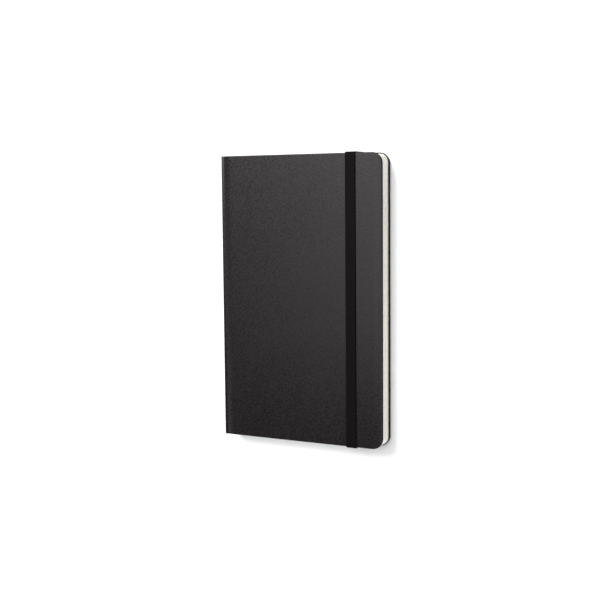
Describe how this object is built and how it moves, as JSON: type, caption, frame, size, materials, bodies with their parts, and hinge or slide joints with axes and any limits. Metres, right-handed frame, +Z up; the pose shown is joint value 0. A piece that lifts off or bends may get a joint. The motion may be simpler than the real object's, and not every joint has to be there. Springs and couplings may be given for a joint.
{
  "type": "hard-cover notebook",
  "caption": "Hard-cover notebook with square spine, rounded fore-edge corners, sewn squared pages, inner back pocket and an elastic band that holds it shut.",
  "frame": {"origin": "middle of the closed book's underside", "axes": "+X from the spine to the fore-edge, +Y from the tail to the head, +Z up through the front cover"},
  "size_m": [0.131, 0.2118, 0.0159],
  "materials": {
    "cover_cloth": "matte fine grain",
    "board": "grey pressed board",
    "endpaper": "smooth ivory",
    "page_paper": "smooth ivory with pale 5 mm squares",
    "pocket_card": "smooth ivory card",
    "gusset_cloth": "fine black cloth",
    "lining_gauze": "open gauze",
    "thread": "waxed linen",
    "elastic": "ribbed woven elastic"
  },
  "bodies": {
    "back_cover": {"back_board": "board", "back_cover_cloth": "cover_cloth", "back_pastedown": "endpaper", "pocket_back": "pocket_card", "band_ends": "elastic", "pocket_gussets": "gusset_cloth"},
    "spine": {"spine_board": "board", "spine_cloth": "cover_cloth", "spine_lining": "lining_gauze", "sewing_thread": "thread"},
    "front_cover": {"front_board": "board", "front_cover_cloth": "cover_cloth", "front_pastedown": "endpaper", "front_flyleaf": "endpaper", "section_04": "page_paper", "section_05": "page_paper", "section_06": "page_paper", "section_07": "page_paper", "section_08": "page_paper", "section_09": "page_paper", "section_10": "page_paper", "section_11": "page_paper", "section_12": "page_paper"},
    "back_flyleaf_leaves": {"back_flyleaf": "endpaper"},
    "section_01_leaves": {"section_01": "page_paper"},
    "section_02_leaves": {"section_02": "page_paper"},
    "section_03_leaves": {"section_03": "page_paper"},
    "pocket": {"pocket_panel": "pocket_card"},
    "band": {"elastic_band": "elastic"}
  },
  "joints": [
    {"name": "front_cover_hinge", "type": "hinge", "parent": "spine", "child": "front_cover", "pos_m": [-0.0645, 0, 0.014], "axis": [0, -1, 0], "range_deg": [0, 90]},
    {"name": "spine_hinge", "type": "hinge", "parent": "back_cover", "child": "spine", "pos_m": [-0.0645, 0, 0.001], "axis": [0, -1, 0], "range_deg": [0, 90]},
    {"name": "back_flyleaf_turn", "type": "hinge", "parent": "spine", "child": "back_flyleaf_leaves", "pos_m": [-0.0626, 0, 0.00308], "axis": [0, -1, 0], "range_deg": [-26, 0]},
    {"name": "section_01_turn", "type": "hinge", "parent": "spine", "child": "section_01_leaves", "pos_m": [-0.0626, 0, 0.00358], "axis": [0, -1, 0], "range_deg": [-4, 0]},
    {"name": "section_02_turn", "type": "hinge", "parent": "spine", "child": "section_02_leaves", "pos_m": [-0.0626, 0, 0.00437], "axis": [0, -1, 0], "range_deg": [0, 20]},
    {"name": "section_03_turn", "type": "hinge", "parent": "spine", "child": "section_03_leaves", "pos_m": [-0.0626, 0, 0.00516], "axis": [0, -1, 0], "range_deg": [0, 44]},
    {"name": "pocket_hinge", "type": "hinge", "parent": "back_cover", "child": "pocket", "pos_m": [0.0615, 0, 0.00235], "axis": [0, 1, 0], "range_deg": [0, 8], "deforming": ["pocket_gussets"]},
    {"name": "band_slip", "type": "slide", "parent": "back_cover", "child": "band", "axis": [1, 0, 0], "range_m": [0, 0.03], "deforming": ["elastic_band"]}
  ],
  "couplings": [
    {"joint": "spine_hinge", "follows": "front_cover_hinge", "ratio": 1},
    {"joint": "back_flyleaf_turn", "follows": "front_cover_hinge", "ratio": -0.28889},
    {"joint": "section_01_turn", "follows": "front_cover_hinge", "ratio": -0.044444},
    {"joint": "section_02_turn", "follows": "front_cover_hinge", "ratio": 0.22222},
    {"joint": "section_03_turn", "follows": "front_cover_hinge", "ratio": 0.48889},
    {"joint": "pocket_hinge", "follows": "front_cover_hinge", "ratio": 0.088889}
  ]
}
